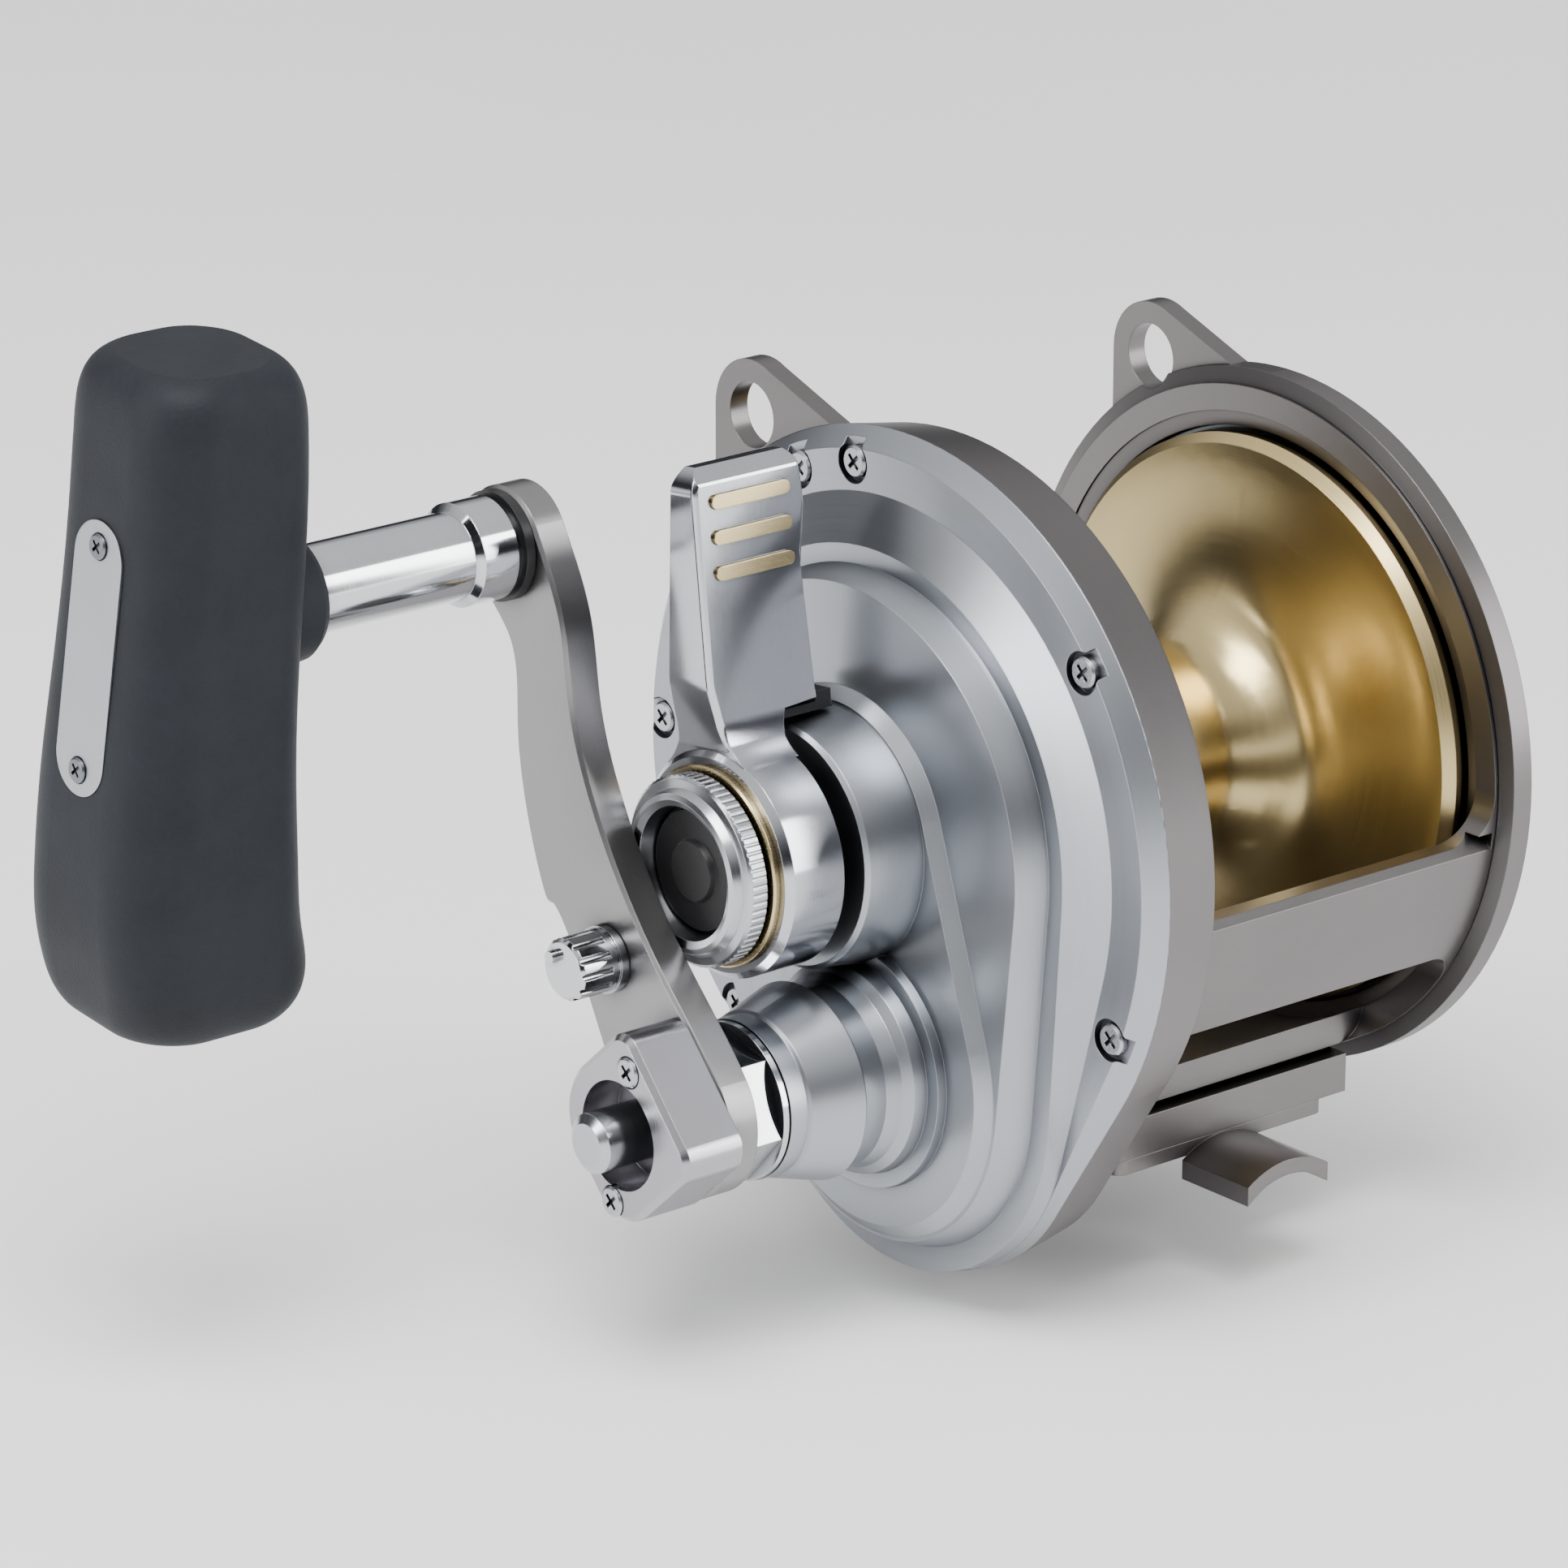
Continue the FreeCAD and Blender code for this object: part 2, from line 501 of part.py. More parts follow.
def low_pinion():
    teeth = gear(LOW_PINION_TEETH, MESH_ANGLE + math.pi / LOW_PINION_TEETH, -37.8, -34.9)
    return teeth.cut(rod(SHAFT_R + RUNNING_GAP, -40, -34))


def high_pinion():
    teeth = gear(HIGH_PINION_TEETH, MESH_ANGLE + math.pi / HIGH_PINION_TEETH, -42.6, -38.2)
    collar = rod(5.1, -38.3, -37.8)
    return fuse(teeth, collar).cut(rod(SHAFT_R + RUNNING_GAP, -44, -37))


# ---- handle train -------------------------------------------------------------------------------
def handle_shaft():
    """Hollow crank shaft; the shift rod slides inside."""
    shaft = handle_turned([(-33.0, 0), (-33.0, CRANK_R), (-74.6, CRANK_R), (-75.4, 4.6), (-86.0, 4.6), (-86.0, 0)])
    flats = [block(-87, -80.2, HANDLE_Y + side * 5.9 - 2.0, HANDLE_Y + side * 5.9 + 2.0, HANDLE_Z - 8, HANDLE_Z + 8)
             for side in (-1, 1)]
    shaft = shaft.cut(Part.makeCompound(flats))
    return shaft.cut(rod(2.4, -90, -30, HANDLE_Y, HANDLE_Z))


def high_gear():
    wheel = gear(HIGH_GEAR_TEETH, MESH_ANGLE + math.pi, -42.4, -38.6, HANDLE_Y, HANDLE_Z)
    wheel = wheel.cut(rod(CRANK_R, -44, -37, HANDLE_Y, HANDLE_Z))
    for turn in range(6):
        hole = polar(16.5, turn * math.pi / 3, -44, HANDLE_Y, HANDLE_Z)
        wheel = wheel.cut(Part.makeCylinder(4.2, 8, hole, ALONG_X))
    return wheel


def anti_reverse_ratchet():
    disc = ratchet(12, 15.0, 12.8, RATCHET_PHASE, -47.2, -44.2, HANDLE_Y, HANDLE_Z)
    return disc.cut(rod(CRANK_R, -49, -42, HANDLE_Y, HANDLE_Z))


def low_gear():
    phase = MESH_ANGLE + math.pi
    wheel = gear(LOW_GEAR_TEETH, phase, -37.7, -35.0, HANDLE_Y, HANDLE_Z)
    wheel = wheel.cut(rod(CRANK_R + RUNNING_GAP, -40, -33, HANDLE_Y, HANDLE_Z))
    for turn in range(5):
        hole = polar(12.5, turn * 2 * math.pi / 5, -40, HANDLE_Y, HANDLE_Z)
        wheel = wheel.cut(Part.makeCylinder(3.2, 8, hole, ALONG_X))
    return wheel


def pawl():
    """Pawl that drops behind the ratchet's teeth; drawn just lifted clear of them."""
    py, pz = PAWL_PIN_YZ
    tip_low = polar(15.5, PAWL_TIP_ANGLE, 0, HANDLE_Y, HANDLE_Z)
    tip_high = polar(17.8, PAWL_TIP_ANGLE, 0, HANDLE_Y, HANDLE_Z)
    body = rod(2.5, PAWL_X[0], PAWL_X[1], py, pz)
    outline = [(py - 1.0, pz - 2.25), (tip_low.y, tip_low.z), (tip_high.y, tip_high.z), (py + 0.9, pz + 2.3)]
    beak = extrude_x(outline, *PAWL_X)
    return fuse(body, beak).cut(rod(1.25, PAWL_X[0] - 1, PAWL_X[1] + 1, py, pz))


def arm_point(dy, dz, x):
    return V(x, HANDLE_Y + dy, HANDLE_Z + dz)


def clockwise(angle):
    """Direction of travel round a circle in the YZ plane, at an angle in radians."""
    return V(0, math.sin(angle), -math.cos(angle))


def spline_edge(points, start_angle, end_angle):
    """Smooth edge that leaves one circle and joins another along their tangents."""
    curve = Part.BSplineCurve()
    curve.interpolate(Points=points, InitialTangent=clockwise(start_angle), FinalTangent=clockwise(end_angle))
    return curve.toShape()


def stem_rim_point(radius, turn):
    return arm_point(STEM_DY + radius * math.cos(turn), STEM_DZ + radius * math.sin(turn), ARM_OUT)


def handle_arm():
    """Flat S-shaped crank arm: two smooth edges between a round foot and a round tip."""
    foot_r, tip_r = 11.8, 8.3

    def foot_point(angle):
        return arm_point(foot_r * math.cos(angle), foot_r * math.sin(angle), ARM_OUT)

    front_foot, rear_foot = 2.48, -0.45
    front_tip, rear_tip = math.radians(150), math.radians(-32)
    front = [foot_point(front_foot)]
    front += [arm_point(dy, dz, ARM_OUT) for dy, dz in ((3.4, 20.8), (17.6, 41.0), (22.4, 54.0), (24.4, 66.0))]
    front.append(stem_rim_point(tip_r, front_tip))
    rear = [stem_rim_point(tip_r, rear_tip)]
    rear += [arm_point(dy, dz, ARM_OUT) for dy, dz in ((36.4, 60.6), (35.0, 47.0), (29.2, 25.0))]
    rear.append(foot_point(rear_foot))
    tip = Part.Arc(front[-1], stem_rim_point(tip_r, math.radians(60)), rear[0])
    foot = Part.Arc(rear[-1], foot_point(-1.9), front[0])
    front_edge = spline_edge(front, front_foot, front_tip)
    rear_edge = spline_edge(rear, rear_tip, rear_foot)
    wire = Part.Wire([front_edge, tip.toShape(), rear_edge, foot.toShape()])
    arm = Part.Face(wire).extrude(V(ARM_IN - ARM_OUT, 0, 0))
    outer = [e for e in arm.Edges if abs(e.CenterOfMass.x - ARM_OUT) < 0.01]
    arm = arm.makeChamfer(0.5, outer)
    arm = arm.cut(rod(4.6, -90, -75, HANDLE_Y, HANDLE_Z))
    knob = arm_point(*KNOB_DYZ, 0)
    arm = arm.cut(rod(2.0, -90, -75, knob.y, knob.z))
    return arm.cut(rod(3.5, -90, -75, STEM_Y, STEM_Z))


def hub_washer():
    return tube(11.4, CRANK_R + 0.1, -75.2, -74.2, HANDLE_Y, HANDLE_Z)


def hub_nut():
    """Hexagon nut between the arm and the shaft boss."""
    corners = [polar(11.2, math.radians(12 + 60 * k), 0, HANDLE_Y, HANDLE_Z) for k in range(6)]
    hexagon = extrude_x([(p.y, p.z) for p in corners], ARM_IN, -75.2)
    dome = handle_turned([(-75.2, 0), (-75.2, 11.2), (-75.9, 11.2), (ARM_IN + 0.3, 11.2), (ARM_IN, 10.4), (ARM_IN, 0)])
    return hexagon.common(dome).cut(rod(CRANK_R, -82, -74, HANDLE_Y, HANDLE_Z))


def lean_in_plane(shape, degrees, y=HANDLE_Y, z=HANDLE_Z):
    """Swing a shape about an X-parallel axis; positive leans its top to the rear."""
    shape.rotate(V(0, y, z), ALONG_X, -degrees)
    return shape


def hub_block():
    """Cap over the arm's foot, with a round well for the shift button."""
    front, rear, low, high = -11.8, 10.3, -11.4, 11.4
    solid = block(HUB_OUT, ARM_OUT, HANDLE_Y + front, HANDLE_Y + rear, HANDLE_Z + low, HANDLE_Z + high)
    for (at_rear, at_top), radius in HUB_CORNERS.items():
        corner = arm_point(rear if at_rear else front, high if at_top else low, (HUB_OUT + ARM_OUT) / 2)
        edge = [e for e in solid.Edges if e.CenterOfMass.distanceToPoint(corner) < 0.01]
        solid = solid.makeFillet(radius, edge)
    face_edges = [e for e in solid.Edges if abs(e.CenterOfMass.x - HUB_OUT) < 0.01]
    solid = solid.makeChamfer(0.8, face_edges)
    solid = lean_in_plane(solid, ARM_LEAN)
    solid = solid.cut(rod(7.9, HUB_OUT - 1, HUB_OUT + 6.4, HANDLE_Y, HANDLE_Z))
    solid = solid.cut(rod(4.6, HUB_OUT - 1, ARM_OUT + 1, HANDLE_Y, HANDLE_Z))
    for dy, dz in HUB_SCREW_DYZ:
        solid = solid.cut(rod(2.35, HUB_OUT - 1, HUB_OUT + 1.0, HANDLE_Y + dy, HANDLE_Z + dz))
        solid = solid.cut(rod(1.3, HUB_OUT, HUB_OUT + 8.5, HANDLE_Y + dy, HANDLE_Z + dz))
    return solid


def hub_screws():
    pieces = []
    for dy, dz in HUB_SCREW_DYZ:
        pieces.append(screw(1.2, 2.2, 1.3, 6.6, arm_point(dy, dz, HUB_OUT - 0.4), ALONG_X))
    return Part.makeCompound(pieces)


def shift_button():
    """Push button of the two-speed shift, standing in the hub's well."""
    return handle_turned([(-101.0, 0), (-101.0, 3.0), (-100.2, 4.3), (-91.6, 4.3), (-91.6, 2.3), (-90.6, 2.3),
                          (-90.6, 0)])


def shift_rod():
    return rod(2.3, -90.6, -36.4 - SHIFT_TRAVEL, HANDLE_Y, HANDLE_Z)


def shift_spring():
    """Return spring of the shift rod, drawn as one sleeve with a ridge for each coil."""
    inner, root, crest, coils = 2.9, 3.4, 3.9, 5
    pitch = SPRING_LENGTH / coils
    profile = [(SPRING_X, inner)]
    for index in range(coils):
        start = SPRING_X + index * pitch
        profile += [(start, crest), (start + pitch / 2, crest)]
        profile += [(start + pitch / 2, root), (start + pitch, root)]
    return handle_turned(profile + [(SPRING_X + SPRING_LENGTH, inner)])


def release_knob():
    """Fluted turn knob of the arm lock, with its small locating pin."""
    centre = arm_point(*KNOB_DYZ, 0)
    knob = rod(4.5, -93.4, ARM_OUT - 1.0, centre.y, centre.z)
    rim = [e for e in knob.Edges if abs(e.CenterOfMass.x + 93.4) < 0.01]
    knob = knob.makeChamfer(0.5, rim)
    for turn in range(12):
        flute = polar(4.75, turn * math.pi / 6, -94, centre.y, centre.z)
        knob = knob.cut(Part.makeCylinder(0.6, 6.0, flute, ALONG_X))
    collar = rod(4.9, ARM_OUT - 1.4, ARM_OUT - 0.1, centre.y, centre.z)
    stub = rod(1.95, ARM_OUT - 0.2, ARM_IN - 0.4, centre.y, centre.z)
    pin = rod(0.9, -94.4, -93.0, centre.y + 1.9, centre.z + 1.6)
    return fuse(knob, collar, stub, pin)


def stem_post():
    return turned([(-128.0, 0), (-128.0, 4.4), (-121.4, 4.4), (-121.4, STEM_R), (-94.6, STEM_R), (-93.8, 7.4),
                   (-88.0, 7.4), (-87.4, 6.6), (ARM_OUT - 1.2, 6.6), (ARM_OUT, 3.5), (ARM_IN + 1.0, 3.5),
                   (ARM_IN + 1.0, 0)], STEM_Y, STEM_Z)


def stem_seal():
    return tube(7.9, 6.6, -87.0, ARM_OUT - 0.1, STEM_Y, STEM_Z)


def stem_nut():
    """Low domed nut that holds the stem in the arm."""
    return turned([(ARM_IN, 0), (ARM_IN, 6.0), (ARM_IN + 0.8, 6.0), (ARM_IN + 1.4, 5.2), (ARM_IN + 1.4, 0)],
                  STEM_Y, STEM_Z).cut(rod(3.5, ARM_IN - 1, ARM_IN + 1.0, STEM_Y, STEM_Z))


# ---- grip ---------------------------------------------------------------------------------------
def grip_section(height, x_mid, half_x, half_y, corner):
    """Rounded rectangle at one height of the grip, centred on the stem."""
    z = STEM_Z + height
    x_in, y_in = half_x - corner, half_y - corner
    edges = []
    for sx, sy, start in ((1, 1, 0), (-1, 1, 90), (-1, -1, 180), (1, -1, 270)):
        centre = V(x_mid + sx * x_in, STEM_Y + sy * y_in, z)
        arc = Part.makeCircle(corner, centre, V(0, 0, 1), start, start + 90)
        if edges:
            edges.append(Part.makeLine(edges[-1].Vertexes[-1].Point, arc.Vertexes[0].Point))
        edges.append(arc)
    edges.append(Part.makeLine(edges[-1].Vertexes[-1].Point, edges[0].Vertexes[0].Point))
    return Part.Wire(edges)


def grip():
    """Foam grip: flared at the foot, with a short neck round the stem."""
    body = Part.makeLoft([grip_section(*section) for section in GRIP_SECTIONS], True)
    neck = turned([(-132.0, 0), (-132.0, 10.2), (-122.4, 9.2), (-121.2, 8.4), (-121.2, 0)], STEM_Y, STEM_Z)
    solid = fuse(body, neck)
    solid = solid.cut(rod(7.6, GRIP_CORE_END, -121.0, STEM_Y, STEM_Z))
    solid = solid.cut(tilt_badge(badge_plate(0.0, BADGE_X - 4, BADGE_X + BADGE_THICK + 0.1)))
    solid = solid.cut(tilt_badge(badge_bores(1.0, BADGE_X, BADGE_X + 6)))
    return lean_grip(solid)


def lean_grip(shape):
    shape.rotate(V(0, STEM_Y, STEM_Z), ALONG_X, GRIP_LEAN)
    return shape


def tilt_badge(shape):
    shape.rotate(V(BADGE_X, BADGE_Y, STEM_Z), V(0, 1, 0), BADGE_TILT)
    return shape


def badge_plate(inset, x_from, x_to):
    """Long oval plate on the grip's outer face."""
    r = BADGE_HALF - inset
    low, high = STEM_Z + BADGE_DOWN + BADGE_HALF, STEM_Z + BADGE_UP - BADGE_HALF
    stretch = block(x_from, x_to, BADGE_Y - r, BADGE_Y + r, low, high)
    ends = [rod(r, x_from, x_to, BADGE_Y, z) for z in (low, high)]
    return fuse(stretch, *ends)


def badge_bores(radius, x_from, x_to):
    """Holes on the axes of the two badge screws."""
    heights = (BADGE_DOWN + 3.6, BADGE_UP - 3.6)
    return Part.makeCompound([rod(radius, x_from, x_to, BADGE_Y, STEM_Z + height) for height in heights])


def badge():
    plate = badge_plate(0.05, BADGE_X, BADGE_X + BADGE_THICK)
    plate = plate.cut(badge_bores(1.0, BADGE_X - 1, BADGE_X + BADGE_THICK + 1))
    return lean_grip(tilt_badge(plate.cut(badge_bores(1.9, BADGE_X - 1, BADGE_X + 0.35))))


def badge_screws():
    pieces = []
    for height in (BADGE_DOWN + 3.6, BADGE_UP - 3.6):
        pieces.append(screw(0.95, 1.8, 0.8, 5.0, V(BADGE_X - 0.5, BADGE_Y, STEM_Z + height), ALONG_X))
    return lean_grip(tilt_badge(Part.makeCompound(pieces)))


def grip_core():
    """Hard sleeve inside the foam, carrying the two small bearings."""
    return turned([(GRIP_CORE_END, 0), (GRIP_CORE_END, 7.6), (-121.4, 7.6), (-121.4, 6.4), (-129.6, 6.4),
                   (-129.6, 0)], STEM_Y, STEM_Z)


def grip_bearings():
    pair = [ball_bearing(6.4, 4.4 + RUNNING_GAP, start, start + 2.6) for start in (-127.6, -124.6)]
    group = Part.makeCompound(pair)
    group.translate(V(0, STEM_Y, STEM_Z))
    return group


# ---- drag lever and preset knob -----------------------------------------------------------------
def flare(y_line, radius):
    """Hollow curve that carries an upright side into the round hub: its two ends and its middle, as (y, z)."""
    side = 1 if y_line > 0 else -1
    centre_y = y_line + side * radius
    reach = HUB_R + radius
    centre_z = math.sqrt(reach ** 2 - centre_y ** 2)
    start = (y_line, centre_z)
    end = (centre_y * HUB_R / reach, centre_z * HUB_R / reach)
    toward = V(0, -side - centre_y / reach, -centre_z / reach)
    toward.normalize()
    return start, (centre_y + radius * toward.y, centre_z + radius * toward.z), end


def lever_side():
    """Side view of the blade: a slim tip that widens into the hub."""
    front_top, front_middle, front_low = [V(-90, y, z) for y, z in flare(-3.6, 7.0)]
    rear_top, rear_middle, rear_low = [V(-90, y, z) for y, z in flare(6.0, 10.0)]
    tip = [V(-90, -3.6, 54.4), V(-90, -1.9, LEVER_TIP_R), V(-90, 0.2, LEVER_TIP_R), V(-90, 1.4, 54.0),
           V(-90, 4.2, 34.0)]
    edges = [Part.Arc(front_low, front_middle, front_top).toShape()]
    corners = [front_top] + tip + [rear_top]
    edges += [Part.makeLine(a, b) for a, b in zip(corners, corners[1:])]
    edges.append(Part.Arc(rear_top, rear_middle, rear_low).toShape())
    edges.append(Part.makeLine(rear_low, front_low))
    return Part.Face(Part.Wire(edges)).extrude(V(50, 0, 0))


def drag_lever():
    """Broad lever on a round hub that turns on the plate's sleeve."""
    hub = turned([(HUB_BACK, 0), (HUB_BACK, HUB_R - 0.6), (HUB_BACK - 0.6, HUB_R), (HUB_FRONT + 1.0, HUB_R),
                  (HUB_FRONT, HUB_R - 1.0), (HUB_FRONT, 0)])
    front = extrude_y([(-72.8, 8.0), (-72.8, 16.5), (-75.0, 26.0), (-75.4, 57.4), (-56.4, 57.4), (-55.9, 48.6),
                       (-57.4, 38.0), (-56.4, 21.0), (-62.0, 20.6), (-63.2, 17.0), (-63.2, 8.0)], -14, 14)
    corners = [e for e in front.Edges if abs(e.tangentAt(e.FirstParameter).y) > 0.9 and e.CenterOfMass.z > 57]
    front = front.makeFillet(4.6, corners)
    bend = [e for e in front.Edges if abs(e.tangentAt(e.FirstParameter).y) > 0.9 and abs(e.CenterOfMass.z - 26.0) < 0.1]
    front = front.makeFillet(6.0, bend)
    blade = lever_side().common(front)
    rim = [e for e in blade.Edges if e.BoundBox.YMax < -3.59 and e.BoundBox.ZMin > 21 and e.BoundBox.YMin > -3.7]
    blade = blade.makeFillet(0.8, rim)
    blade = blade.cut(rod(14.5, -90, -40))
    for height in INLAY_R:
        blade = blade.cut(inlay_bar(height, 0.0))
    blade.rotate(V(0, 0, 0), ALONG_X, -LEVER_LEAN)
    lever = fuse(hub, blade)
    lever = lever.cut(rod(9.0 + RUNNING_GAP, -66.4, HUB_BACK + 1))
    return lever.cut(rod(11.0, HUB_FRONT - 1, -66.4))


def inlay_bar(height, inset):
    """Rounded bar let into the lever's broad face."""
    half = 1.05 - inset
    bar = block(-71.6, -59.8, -4.1, -2.4, height - half, height + half)
    ends = [Part.makeCylinder(half, 1.7, V(x, -4.1, height), V(0, 1, 0)) for x in (-71.6, -59.8)]
    return fuse(bar, *ends)


def lever_inlays():
    bars = Part.makeCompound([inlay_bar(height, 0.04) for height in INLAY_R])
    bars.rotate(V(0, 0, 0), ALONG_X, -LEVER_LEAN)
    return bars


def lever_ring():
    return turned([(HUB_FRONT, 11.0), (HUB_FRONT, 14.4), (-74.4, 14.4), (-74.6, 14.1), (-74.6, 11.0)])


def lever_detent():
    """Dark click block under the lever's step; it rides over the neck of the side plate."""
    piece = extrude_x([(-3.0, 18.4), (-3.0, 20.2), (4.0, 20.2), (4.0, 18.4)], -61.8, -53.2)
    piece = piece.fuse(block(-56.0, -53.2, -3.0, 4.0, 20.0, 21.6)).cut(rod(19.2, -70, -50))
    piece.rotate(V(0, 0, 0), ALONG_X, -LEVER_LEAN)
    return piece


def drag_cam():
    """Helical cam that draws the spool shaft out as the lever swings."""
    cam = tube(10.9, SHAFT_R + 0.3, -70.0, -66.5)
    for turn in range(3):
        ramp = block(-67.4, -66.0, 5.5, 12.0, -1.6, 1.6)
        ramp.rotate(V(0, 0, 0), ALONG_X, 120 * turn)
        cam = cam.cut(ramp)
    return cam


def preset_knob():
    """Knurled preset ring with a dished face."""
    knob = turned([(-74.9, 4.1), (-74.9, 13.0), (-75.3, 13.7), (-77.7, 13.7), (-78.1, 13.2), (-78.3, 12.0),
                   (-79.5, 11.4), (-79.7, 10.6), (-79.2, 9.6), (-76.4, 9.0), (-76.4, 6.2), (-75.6, 6.2), (-75.6, 4.1)])
    notches = []
    for turn in range(KNURL_COUNT):
        place = polar(13.9, turn * 2 * math.pi / KNURL_COUNT, -78.4)
        notches.append(Part.makeCylinder(0.36, 3.4, place, ALONG_X, 360))
    return knob.cut(Part.makeCompound(notches))


def preset_insert():
    """Dark insert in the bottom of the preset knob's dish."""
    insert = turned([(-76.4, 0), (-76.4, 8.9), (-77.0, 8.6), (-77.0, 4.6), (-77.8, 4.2), (-77.8, 0)])
    return insert.fuse(rod(6.1, -76.5, -75.7)).cut(rod(4.1, -76.5, -74))


# ---- clicker on the far side --------------------------------------------------------------------
def click_button():
    z = CLICK_REST_Z
    cap = rounded_knob(40.9, 44.4, -4.2, 4.2, z - 5.0, z + 5.0)
    neck = block(37.2, 41.2, -2.9, 2.9, z - 3.9, z + 3.9)
    flange = block(35.2, 37.4, -5.6, 5.6, z - 5.4, z + 5.4)
    return fuse(cap, neck, flange)


def rounded_knob(x_from, x_to, y_from, y_to, z_from, z_to):
    solid = block(x_from, x_to, y_from, y_to, z_from, z_to)
    along = [e for e in solid.Edges if abs(e.tangentAt(e.FirstParameter).x) > 0.9]
    solid = solid.makeFillet(2.2, along)
    top = [e for e in solid.Edges if abs(e.CenterOfMass.x - x_to) < 0.01]
    return solid.makeChamfer(0.6, top)


def click_pawl():
    """Tongue behind the click button; its tip reaches towards the spool's click ratchet."""
    top = CLICK_REST_Z - 1.0
    tongue = extrude_x([(-1.8, top), (1.8, top), (0.5, CLICK_TIP_Z), (-0.5, CLICK_TIP_Z)], 27.8, 31.0)
    stalk = block(30.0, 35.2, -1.8, 1.8, top - 2.0, top)
    return fuse(tongue, stalk)


PARTS = {
    "frame": frame,
    "reel_foot": reel_foot,
    "foot_screws": foot_screws,
    "handle_side_plate": handle_side_plate,
    "side_plate_screws": side_plate_screws,
    "gear_case_plate": gear_case_plate,
    "gear_case_screws": gear_case_screws,
    "left_side_plate": left_side_plate,
    "left_plate_screws": left_plate_screws,
    "left_bearing": left_bearing,
    "drive_bearing": drive_bearing,
    "handle_bearing_inner": handle_bearing_inner,
    "handle_bearing_outer": handle_bearing_outer,
    "pawl_pin": pawl_pin,
    "spool": spool,
    "spool_bearings": spool_bearings,
    "drag_disc": drag_disc,
    "click_ratchet": click_ratchet,
    "spool_shaft": spool_shaft,
    "drag_springs": drag_springs,
    "pressure_plate": pressure_plate,
    "drag_lining": drag_lining,
    "low_pinion": low_pinion,
    "high_pinion": high_pinion,
    "handle_shaft": handle_shaft,
    "high_gear": high_gear,
    "anti_reverse_ratchet": anti_reverse_ratchet,
    "low_gear": low_gear,
    "pawl": pawl,
    "hub_washer": hub_washer,
    "hub_nut": hub_nut,
    "handle_arm": handle_arm,
    "hub_block": hub_block,
    "hub_screws": hub_screws,
    "shift_button": shift_button,
    "shift_rod": shift_rod,
    "shift_spring": shift_spring,
    "release_knob": release_knob,
    "stem_post": stem_post,
    "stem_seal": stem_seal,
    "stem_nut": stem_nut,
    "grip": grip,
    "grip_core": grip_core,
    "grip_bearings": grip_bearings,
    "badge": badge,
    "badge_screws": badge_screws,
    "drag_lever": drag_lever,
    "lever_inlays": lever_inlays,
    "lever_ring": lever_ring,
    "lever_detent": lever_detent,
    "drag_cam": drag_cam,
    "preset_knob": preset_knob,
    "preset_insert": preset_insert,
    "click_button": click_button,
    "click_pawl": click_pawl,
}


def main():
    os.makedirs("parts", exist_ok=True)
    for name, build in PARTS.items():
        shape = build()
        shape.translate(V(0, 0, SPOOL_HEIGHT))
        shape.exportStep(os.path.join("parts", name + ".step"))
        print(name, len(shape.Solids), "solid", shape.isValid(), round(shape.Volume, 1))


main()
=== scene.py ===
import bpy
import json
import math
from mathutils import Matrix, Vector

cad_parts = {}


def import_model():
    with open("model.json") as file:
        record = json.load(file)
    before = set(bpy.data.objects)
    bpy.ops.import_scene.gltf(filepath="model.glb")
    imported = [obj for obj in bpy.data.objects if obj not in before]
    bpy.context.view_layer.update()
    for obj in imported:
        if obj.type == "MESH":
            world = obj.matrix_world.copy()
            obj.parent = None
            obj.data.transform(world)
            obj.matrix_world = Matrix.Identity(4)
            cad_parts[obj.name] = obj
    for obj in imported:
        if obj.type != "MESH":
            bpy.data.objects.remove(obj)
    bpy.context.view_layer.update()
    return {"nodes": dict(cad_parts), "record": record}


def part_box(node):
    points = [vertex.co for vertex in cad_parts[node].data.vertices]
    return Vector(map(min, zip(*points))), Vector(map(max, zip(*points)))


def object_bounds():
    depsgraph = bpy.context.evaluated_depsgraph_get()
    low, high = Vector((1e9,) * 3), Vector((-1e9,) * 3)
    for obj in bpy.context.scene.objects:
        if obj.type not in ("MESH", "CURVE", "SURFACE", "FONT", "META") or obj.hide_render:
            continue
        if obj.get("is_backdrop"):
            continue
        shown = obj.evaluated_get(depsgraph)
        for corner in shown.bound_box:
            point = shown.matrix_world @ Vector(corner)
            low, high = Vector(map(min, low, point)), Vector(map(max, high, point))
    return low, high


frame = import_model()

# A trolling reel's looks.  Metres; +X along the spool axis away from the handle, -Y to the line side,
# +Z up.  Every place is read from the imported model.

NODES = frame["nodes"]


def middle(node):
    low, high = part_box(node)
    return (low + high) / 2


SPOOL_AXIS = middle("spool")
HANDLE_AXIS = middle("handle_shaft")
STEM_AXIS = middle("stem_post")
MM = 0.001
BOSS_R = 19.5 * MM         # the plate's boss was turned about the handle's axis within this radius
BOSS_FROM_X = -50 * MM     # and only where it stands further out than this


# ---- materials ----------------------------------------------------------------------------------
def new_material(name):
    material = bpy.data.materials.new(name)
    material.use_nodes = True
    tree = material.node_tree
    shader = tree.nodes["Principled BSDF"]
    return material, tree, shader


def node(tree, kind, **settings):
    made = tree.nodes.new(kind)
    for key, value in settings.items():
        setattr(made, key, value)
    return made


def math_node(tree, operation, first, second=None):
    made = node(tree, "ShaderNodeMath", operation=operation)
    for index, value in enumerate((first, second)):
        if value is None:
            continue
        if isinstance(value, (int, float)):
            made.inputs[index].default_value = value
        else:
            tree.links.new(value, made.inputs[index])
    return made.outputs[0]


